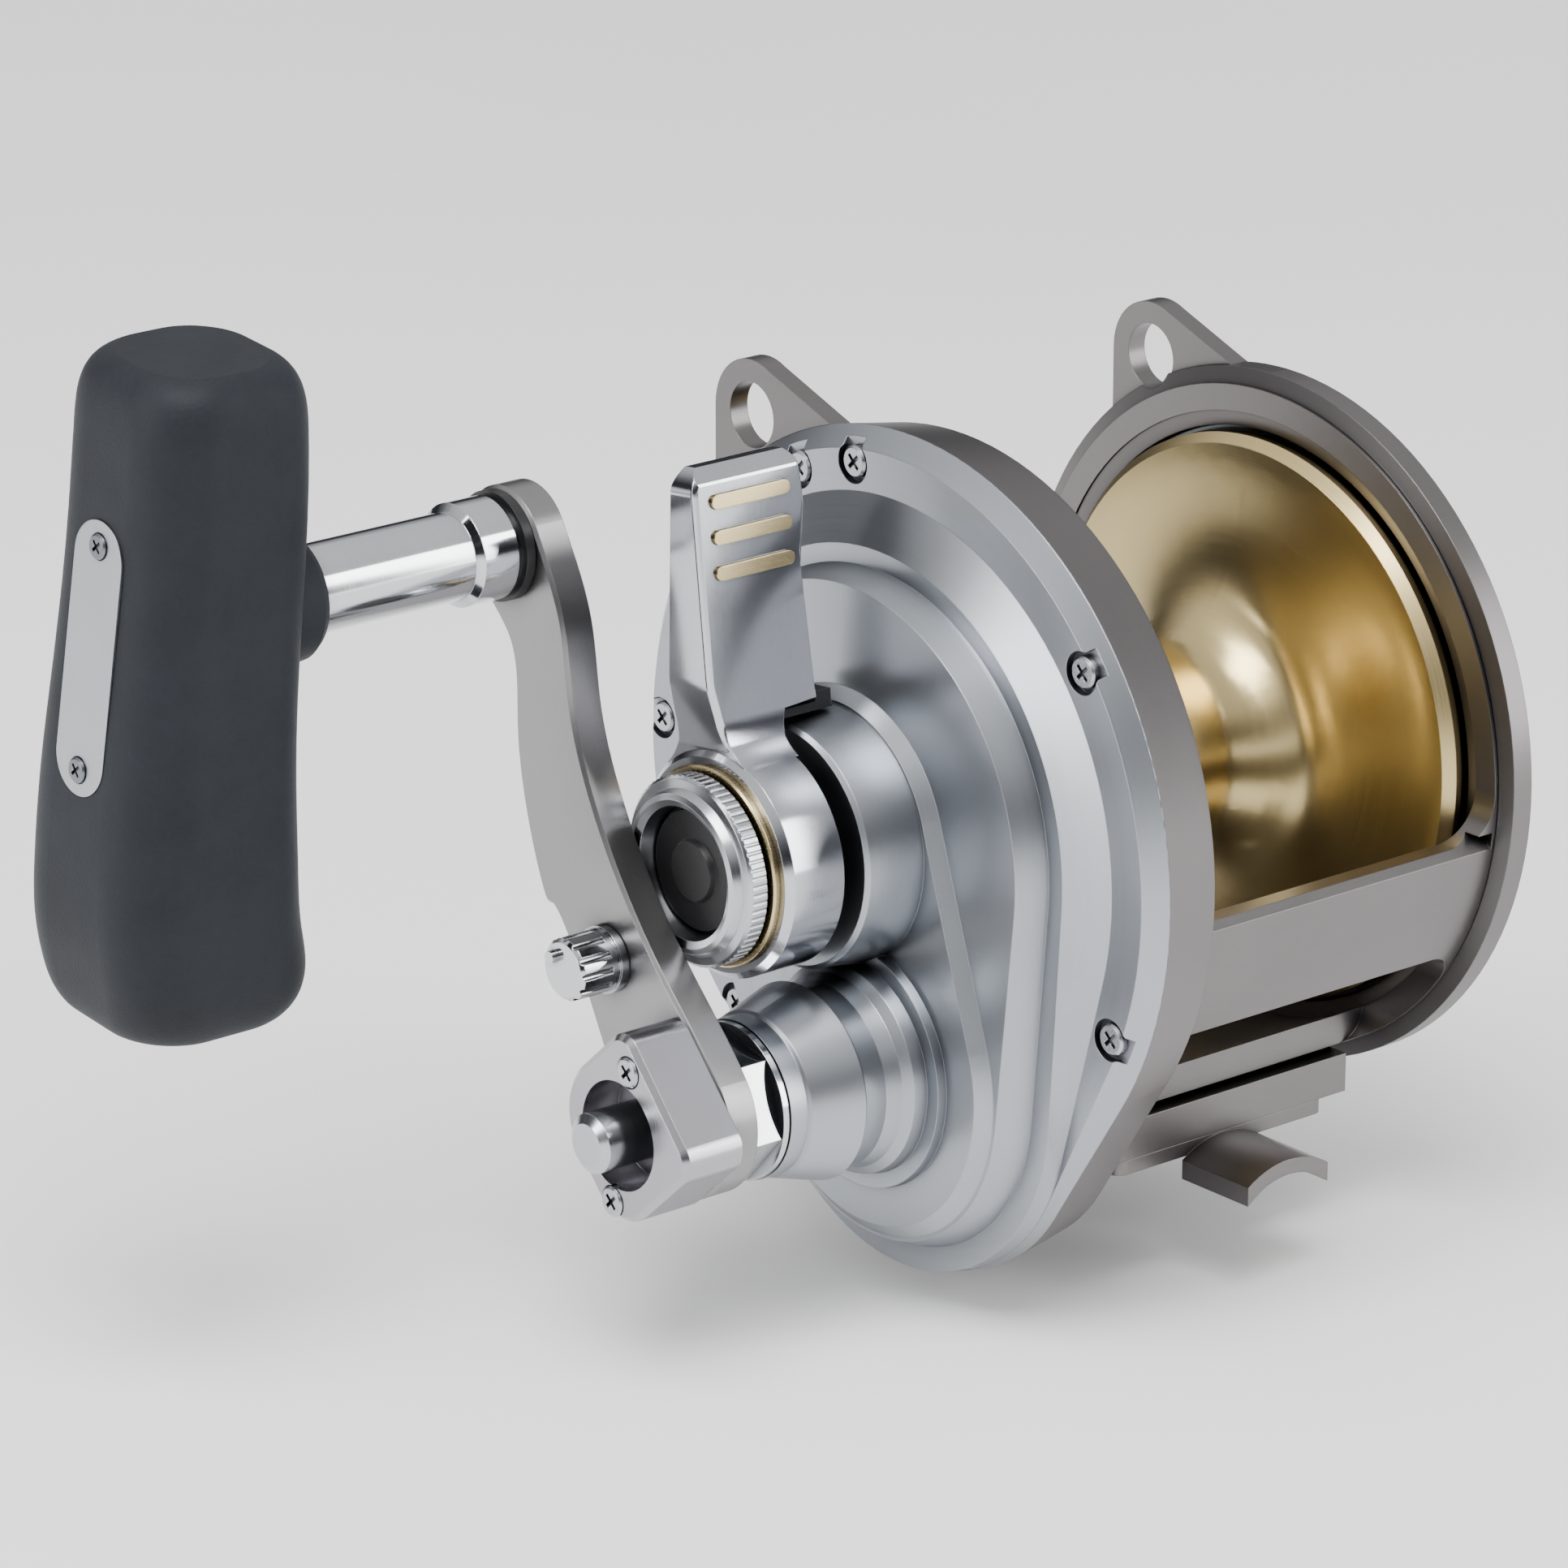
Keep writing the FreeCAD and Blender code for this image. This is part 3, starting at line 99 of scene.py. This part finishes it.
def ramp(tree, factor, stops):
    """Colour ramp from (place, colour) stops."""
    made = node(tree, "ShaderNodeValToRGB")
    for element, (place, colour) in zip(made.color_ramp.elements, (stops[0], stops[-1])):
        element.position = place
        element.color = (*colour, 1)
    for place, colour in stops[1:-1]:
        made.color_ramp.elements.new(place).color = (*colour, 1)
    tree.links.new(factor, made.inputs["Fac"])
    return made.outputs["Color"]


def map_range(tree, value, low, high):
    made = node(tree, "ShaderNodeMapRange")
    made.inputs["To Min"].default_value = low
    made.inputs["To Max"].default_value = high
    tree.links.new(value, made.inputs["Value"])
    return made.outputs["Result"]


def noise(tree, vector, scale, detail=4.0, rough=0.6):
    made = node(tree, "ShaderNodeTexNoise")
    made.inputs["Scale"].default_value = scale
    made.inputs["Detail"].default_value = detail
    made.inputs["Roughness"].default_value = rough
    tree.links.new(vector, made.inputs["Vector"])
    return made.outputs["Fac"]


def object_position(tree):
    return node(tree, "ShaderNodeTexCoord").outputs["Object"]


def about_axis(tree, axis):
    """Distance from an X-parallel axis, and the vector that runs round it."""
    shift = node(tree, "ShaderNodeVectorMath", operation="SUBTRACT")
    tree.links.new(object_position(tree), shift.inputs[0])
    shift.inputs[1].default_value = axis
    flat = node(tree, "ShaderNodeVectorMath", operation="MULTIPLY")
    flat.inputs[1].default_value = (0, 1, 1)
    tree.links.new(shift.outputs[0], flat.inputs[0])
    length = node(tree, "ShaderNodeVectorMath", operation="LENGTH")
    tree.links.new(flat.outputs[0], length.inputs[0])
    round_way = node(tree, "ShaderNodeVectorMath", operation="CROSS_PRODUCT")
    round_way.inputs[0].default_value = (1, 0, 0)
    tree.links.new(flat.outputs[0], round_way.inputs[1])
    to_world = node(tree, "ShaderNodeVectorTransform", vector_type="VECTOR",
                    convert_from="OBJECT", convert_to="WORLD")
    tree.links.new(round_way.outputs[0], to_world.inputs[0])
    unit = node(tree, "ShaderNodeVectorMath", operation="NORMALIZE")
    tree.links.new(to_world.outputs[0], unit.inputs[0])
    return length.outputs["Value"], unit.outputs[0]


def turning_marks(tree, axis, scale):
    """Fine rings left by turning: noise that varies with radius and place along the axis only."""
    radius, around = about_axis(tree, axis)
    split = node(tree, "ShaderNodeSeparateXYZ")
    tree.links.new(object_position(tree), split.inputs[0])
    join = node(tree, "ShaderNodeCombineXYZ")
    tree.links.new(radius, join.inputs[0])
    tree.links.new(split.outputs["X"], join.inputs[1])
    return noise(tree, join.outputs[0], scale, 3.0, 0.7), around


def long_marks(tree, stretch, scale):
    """Brushing along one direction: noise squeezed along it."""
    mapping = node(tree, "ShaderNodeMapping")
    mapping.inputs["Scale"].default_value = stretch
    tree.links.new(object_position(tree), mapping.inputs["Vector"])
    return noise(tree, mapping.outputs[0], scale, 3.0, 0.7)


def bump(tree, shader, height, depth, rounding=0.0):
    made = node(tree, "ShaderNodeBump")
    made.inputs["Strength"].default_value = 1.0
    made.inputs["Distance"].default_value = depth
    tree.links.new(height, made.inputs["Height"])
    if rounding:
        edge = node(tree, "ShaderNodeBevel", samples=4)
        edge.inputs["Radius"].default_value = rounding
        tree.links.new(edge.outputs["Normal"], made.inputs["Normal"])
    tree.links.new(made.outputs["Normal"], shader.inputs["Normal"])


def painted_corner_shade(tree, colour, reach=0.0035):
    """Painted shade: the colour darkened by an ambient-occlusion factor where other surfaces stand close, as
    in steps, seams and screw pockets.
    """
    nearby = node(tree, "ShaderNodeAmbientOcclusion", samples=6)
    nearby.inputs["Distance"].default_value = reach
    soft = ramp(tree, nearby.outputs["AO"], [(0.25, (0.22, 0.22, 0.23)), (0.92, (1.0, 1.0, 1.0))])
    mix = node(tree, "ShaderNodeMixRGB", blend_type="MULTIPLY")
    mix.inputs["Fac"].default_value = 1.0
    tree.links.new(colour, mix.inputs["Color1"])
    tree.links.new(soft, mix.inputs["Color2"])
    return mix.outputs["Color"]


def metal(name, colour, roughness, axis=None, stretch=None, marks=9000.0, depth=1.5e-6, spread=0.06,
          anisotropy=0.0, rounding=0.00018, shade=0.06):
    """Machined metal: turned about an axis or brushed along a direction, with a soft tone variation."""
    material, tree, shader = new_material(name)
    if axis is not None:
        streaks, around = turning_marks(tree, axis, marks)
        if anisotropy:
            tree.links.new(around, shader.inputs["Tangent"])
            shader.inputs["Anisotropic"].default_value = anisotropy
    else:
        streaks = long_marks(tree, stretch or (1, 1, 1), marks)
    cloud = noise(tree, object_position(tree), 60.0, 2.0)
    dark = tuple(c * (1 - shade) for c in colour)
    light = tuple(min(1.0, c * (1 + shade)) for c in colour)
    part_streaks = math_node(tree, "MULTIPLY", streaks, 0.6)
    part_cloud = math_node(tree, "MULTIPLY", cloud, 0.4)
    mix = math_node(tree, "ADD", part_streaks, part_cloud)
    tone = ramp(tree, mix, [(0.3, dark), (0.7, light)])
    # base colour: tone variation with painted shade darkening the corners, steps and screw pockets
    tree.links.new(painted_corner_shade(tree, tone), shader.inputs["Base Color"])
    uneven = map_range(tree, streaks, roughness - spread, roughness + spread)
    tree.links.new(uneven, shader.inputs["Roughness"])
    shader.inputs["Metallic"].default_value = 1.0
    bump(tree, shader, streaks, depth, rounding)
    return material


def two_centre_plate(name, colour, roughness, first, second, limit, face_x):
    """Turned plate whose boss was turned about a second axis."""
    material = metal(name, colour, roughness, axis=first, anisotropy=0.5, marks=5000.0, depth=7e-7,
                     spread=0.04)
    tree = material.node_tree
    shader = tree.nodes["Principled BSDF"]
    _, first_way = about_axis(tree, first)
    radius, second_way = about_axis(tree, second)
    split = node(tree, "ShaderNodeSeparateXYZ")
    tree.links.new(object_position(tree), split.inputs[0])
    near = math_node(tree, "LESS_THAN", radius, limit)
    outer = math_node(tree, "LESS_THAN", split.outputs["X"], face_x)
    both = math_node(tree, "MULTIPLY", near, outer)
    choose = node(tree, "ShaderNodeMix", data_type="VECTOR")
    tree.links.new(both, choose.inputs[0])
    tree.links.new(first_way, choose.inputs[4])
    tree.links.new(second_way, choose.inputs[5])
    tree.links.new(choose.outputs[1], shader.inputs["Tangent"])
    return material


def plastic(name, colour, roughness, grain=2500.0, depth=1.2e-5):
    material, tree, shader = new_material(name)
    speck = noise(tree, object_position(tree), grain, 2.0)
    dark = tuple(c * 0.8 for c in colour)
    light = tuple(c * 1.25 for c in colour)
    tree.links.new(ramp(tree, speck, [(0.35, dark), (0.65, light)]), shader.inputs["Base Color"])
    shader.inputs["Roughness"].default_value = roughness
    bump(tree, shader, speck, depth, 0.0002)
    return material


def foam(name, colour):
    """Closed-cell grip foam: matt and finely pitted."""
    material, tree, shader = new_material(name)
    cells = node(tree, "ShaderNodeTexVoronoi", feature="F1")
    cells.inputs["Scale"].default_value = 2600.0
    tree.links.new(object_position(tree), cells.inputs["Vector"])
    cloud = noise(tree, object_position(tree), 90.0, 4.0)
    fine = noise(tree, object_position(tree), 1500.0, 3.0)
    part_cloud = math_node(tree, "MULTIPLY", cloud, 0.6)
    part_fine = math_node(tree, "MULTIPLY", fine, 0.4)
    mix = math_node(tree, "ADD", part_cloud, part_fine)
    dark = tuple(c * 0.75 for c in colour)
    light = tuple(c * 1.35 for c in colour)
    tree.links.new(ramp(tree, mix, [(0.35, dark), (0.68, light)]), shader.inputs["Base Color"])
    tree.links.new(map_range(tree, fine, 0.52, 0.68), shader.inputs["Roughness"])
    shader.inputs["Specular IOR Level"].default_value = 0.22
    shader.inputs["Sheen Weight"].default_value = 0.03
    shader.inputs["Sheen Roughness"].default_value = 0.5
    height = math_node(tree, "ADD", cells.outputs["Distance"], fine)
    bump(tree, shader, height, 2.2e-5)
    return material


SILVER = (0.38, 0.40, 0.43)
WARM_GREY = (0.180, 0.170, 0.170)
STEEL = (0.46, 0.47, 0.49)
GOLD = (0.60, 0.475, 0.235)
PALE_GOLD = (0.72, 0.58, 0.32)

MATERIALS = {
    "frame_metal": metal("frame_metal", WARM_GREY, 0.34, stretch=(4, 60, 60), marks=90.0, depth=3e-6,
                         spread=0.05),
    "plate_metal": two_centre_plate("plate_metal", SILVER, 0.31, SPOOL_AXIS, HANDLE_AXIS, BOSS_R,
                                    BOSS_FROM_X),
    "gold_metal": metal("gold_metal", GOLD, 0.24, axis=SPOOL_AXIS, anisotropy=0.75, marks=7000.0),
    "gold_inlay": metal("gold_inlay", PALE_GOLD, 0.26, stretch=(4, 60, 60), marks=90.0),
    "screw_steel": metal("screw_steel", STEEL, 0.28, stretch=(40, 40, 40), marks=60.0),
    "dark_screw": metal("dark_screw", (0.20, 0.21, 0.23), 0.32, stretch=(40, 40, 40), marks=60.0),
    "bearing_steel": metal("bearing_steel", STEEL, 0.26, axis=SPOOL_AXIS, marks=5000.0),
    "gear_steel": metal("gear_steel", (0.52, 0.52, 0.53), 0.34, stretch=(60, 10, 10), marks=60.0),
    "polished_steel": metal("polished_steel", (0.60, 0.61, 0.63), 0.10, axis=STEM_AXIS, marks=4000.0,
                            depth=4e-7, spread=0.03),
    "arm_metal": metal("arm_metal", (0.29, 0.285, 0.29), 0.30, stretch=(60, 60, 5), marks=80.0),
    "hub_metal": metal("hub_metal", (0.40, 0.395, 0.42), 0.24, stretch=(60, 60, 5), marks=80.0),
    "button_metal": metal("button_metal", STEEL, 0.22, axis=HANDLE_AXIS, marks=5000.0),
    "badge_metal": metal("badge_metal", (0.42, 0.44, 0.47), 0.34, stretch=(60, 60, 6), marks=90.0),
    "lever_metal": metal("lever_metal", (0.52, 0.53, 0.56), 0.14, stretch=(60, 60, 6), marks=70.0, depth=1e-6,
                         spread=0.04),
    "knurl_steel": metal("knurl_steel", (0.48, 0.49, 0.51), 0.22, axis=SPOOL_AXIS, marks=5000.0),
    "black_plastic": plastic("black_plastic", (0.008, 0.008, 0.009), 0.38),
    "lining": plastic("lining", (0.03, 0.03, 0.032), 0.7),
    "grip_foam": foam("grip_foam", (0.0085, 0.0105, 0.0145)),
}


def dress(target, material):
    target.data.materials.clear()
    target.data.materials.append(material)


for part in frame["record"]["subparts"]:
    dress(NODES[part["node"]], MATERIALS[part["material_slot"]])


# ---- stage, lights and camera -------------------------------------------------------------------
CAMERA_PLACE = Vector((-0.6759, -0.7396, 0.3913))
CAMERA_AZIMUTH, CAMERA_ELEVATION = -39.74, 18.92      # degrees


def studio():
    low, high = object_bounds()
    floor_mesh = bpy.data.meshes.new("floor")
    reach, level = 6.0, low.z - 0.004
    corners = [(-reach, -reach, level), (reach, -reach, level), (reach, reach, level), (-reach, reach, level)]
    floor_mesh.from_pydata(corners, [], [(0, 1, 2, 3)])
    floor = bpy.data.objects.new("floor", floor_mesh)
    bpy.context.scene.collection.objects.link(floor)
    material, tree, shader = new_material("floor")
    tone = noise(tree, object_position(tree), 3.0, 2.0)
    pale = ramp(tree, tone, [(0.3, (0.86, 0.86, 0.86)), (0.7, (0.90, 0.90, 0.90))])
    tree.links.new(pale, shader.inputs["Base Color"])
    shader.inputs["Roughness"].default_value = 0.9
    floor_mesh.materials.append(material)
    floor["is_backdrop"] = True


def soft_light(name, place, aim, width, height, power):
    light = bpy.data.lights.new(name, "AREA")
    light.shape = "RECTANGLE"
    light.size, light.size_y = width, height
    light.energy = power
    lamp = bpy.data.objects.new(name, light)
    bpy.context.scene.collection.objects.link(lamp)
    lamp.location = place
    lamp.rotation_mode = "QUATERNION"
    lamp.rotation_quaternion = (Vector(aim) - Vector(place)).to_track_quat("-Z", "Y")
    return lamp


def world():
    """White room for the camera and for soft light; reflections see a bright ceiling over a dark belt."""
    made = bpy.data.worlds.new("studio")
    bpy.context.scene.world = made
    made.use_nodes = True
    tree = made.node_tree
    back = tree.nodes["Background"]
    direction = node(tree, "ShaderNodeTexCoord").outputs["Generated"]
    split = node(tree, "ShaderNodeSeparateXYZ")
    tree.links.new(direction, split.inputs[0])
    height = map_range(tree, split.outputs["Z"], 0.0, 1.0)
    height_node = height.node
    height_node.inputs["From Min"].default_value = -1.0
    height_node.inputs["From Max"].default_value = 1.0
    room = ramp(tree, height, [
        (0.0, (0.42, 0.42, 0.43)), (0.40, (0.30, 0.30, 0.31)), (0.48, (0.05, 0.05, 0.055)),
        (0.58, (0.035, 0.035, 0.04)), (0.66, (0.22, 0.22, 0.24)), (0.78, (0.9, 0.9, 0.9)),
        (1.0, (1.0, 1.0, 1.0)),
    ])
    white = node(tree, "ShaderNodeMixRGB")
    white.inputs["Color2"].default_value = (1.0, 1.0, 1.0, 1)
    rays = node(tree, "ShaderNodeLightPath")
    pale = math_node(tree, "MAXIMUM", rays.outputs["Is Camera Ray"], rays.outputs["Is Diffuse Ray"])
    tree.links.new(pale, white.inputs["Fac"])
    tree.links.new(room, white.inputs["Color1"])
    tree.links.new(white.outputs[0], back.inputs["Color"])
    back.inputs["Strength"].default_value = 1.0


def camera():
    data = bpy.data.cameras.new("camera")
    data.lens, data.sensor_width = 167.7, 36.0
    data.clip_start, data.clip_end = 0.05, 50.0
    made = bpy.data.objects.new("camera", data)
    bpy.context.scene.collection.objects.link(made)
    made.rotation_mode = "QUATERNION"
    azimuth = math.radians(CAMERA_AZIMUTH)
    elevation = math.radians(CAMERA_ELEVATION)
    back = Vector((math.sin(azimuth) * math.cos(elevation), -math.cos(azimuth) * math.cos(elevation),
                   math.sin(elevation)))
    made.location = CAMERA_PLACE
    made.rotation_quaternion = (-back).to_track_quat("-Z", "Y")
    bpy.context.scene.camera = made


studio()
world()
camera()
CENTRE = Vector((-0.05, 0.0, 0.05))
soft_light("key", (-0.5, -0.4, 1.3), CENTRE, 0.8, 0.8, 24.0)
soft_light("front", (0.9, -1.1, 0.45), CENTRE, 0.35, 1.2, 13.0)
soft_light("side", (-1.4, 0.35, 0.45), CENTRE, 0.35, 1.2, 14.0)
